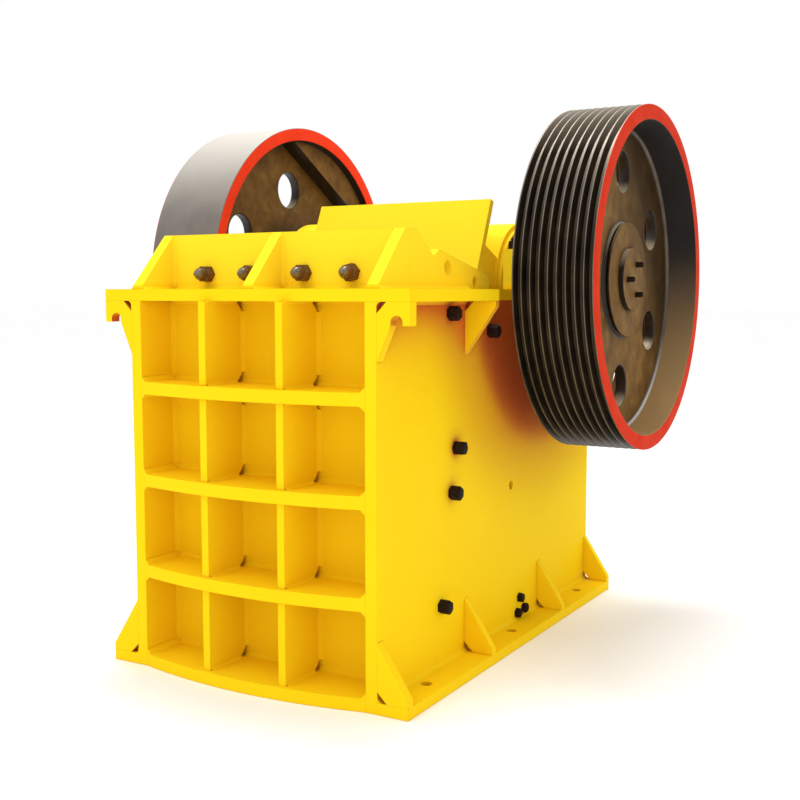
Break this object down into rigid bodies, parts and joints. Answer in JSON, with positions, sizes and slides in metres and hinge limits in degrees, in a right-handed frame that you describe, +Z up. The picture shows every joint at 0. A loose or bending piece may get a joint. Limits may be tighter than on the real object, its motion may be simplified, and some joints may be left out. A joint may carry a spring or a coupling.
{
  "type": "jaw crusher",
  "caption": "Single-toggle jaw crusher: welded ribbed frame on feet, eccentric shaft with grooved belt sheave and flywheel, moving jaw that swings against a fixed jaw to crush rock.",
  "frame": {"origin": "on the floor at the middle of the foundation bolt rectangle", "axes": "+X along the shaft towards the belt sheave, -Y towards the ribbed front wall, +Z up"},
  "size_m": [2.185, 2.329, 2.332],
  "materials": {
    "yellow_paint": "gloss enamel on welded plate",
    "cast_wheel": "oiled grey iron casting",
    "bright_steel": "turned steel",
    "jaw_steel": "cast manganese steel",
    "dark_steel": "blackened steel"
  },
  "bodies": {
    "frame": {"right_side_wall": "yellow_paint", "left_side_wall": "yellow_paint", "front_wall": "yellow_paint", "front_rib_1": "yellow_paint", "front_rib_2": "yellow_paint", "front_rib_3": "yellow_paint", "front_rib_4": "yellow_paint", "left_front_uprights": "yellow_paint", "right_front_uprights": "yellow_paint", "front_deck": "yellow_paint", "feed_lip": "yellow_paint", "lip_ribs": "yellow_paint", "right_hook_plate": "yellow_paint", "left_hook_plate": "yellow_paint", "right_deck_flange": "yellow_paint", "left_deck_flange": "yellow_paint", "right_foot": "yellow_paint", "left_foot": "yellow_paint", "right_foot_gussets": "yellow_paint", "left_foot_gussets": "yellow_paint", "right_bearing_seat": "yellow_paint", "left_bearing_seat": "yellow_paint", "right_bearing_cap": "yellow_paint", "left_bearing_cap": "yellow_paint", "bearing_covers": "yellow_paint", "right_cheek_plates": "jaw_steel", "left_cheek_plates": "jaw_steel", "rear_wall": "yellow_paint", "rear_ribs": "yellow_paint", "rear_uprights": "yellow_paint", "fixed_jaw_plate": "jaw_steel", "fixed_jaw_clamp": "dark_steel", "adjusting_block": "yellow_paint", "toggle_plate": "dark_steel", "tension_rod": "dark_steel", "tension_spring": "dark_steel"},
    "rotor": {"eccentric_shaft": "bright_steel", "sheave": "cast_wheel", "flywheel": "cast_wheel", "end_discs": "cast_wheel"},
    "moving_jaw": {"pitman": "yellow_paint", "head_covers": "yellow_paint", "moving_jaw_plate": "jaw_steel", "jaw_wedge": "dark_steel", "shield": "yellow_paint"}
  },
  "joints": [
    {"name": "shaft_spin", "type": "hinge", "parent": "frame", "child": "rotor", "pos_m": [0, 0.453, 1.56], "axis": [1, 0, 0], "continuous": true},
    {"name": "jaw_bearing", "type": "hinge", "parent": "rotor", "child": "moving_jaw", "pos_m": [0, 0.44612, 1.55017], "axis": [1, 0, 0], "continuous": true}
  ],
  "couplings": [
    {"joint": "jaw_bearing", "follows": "shaft_spin", "ratio": -1}
  ]
}
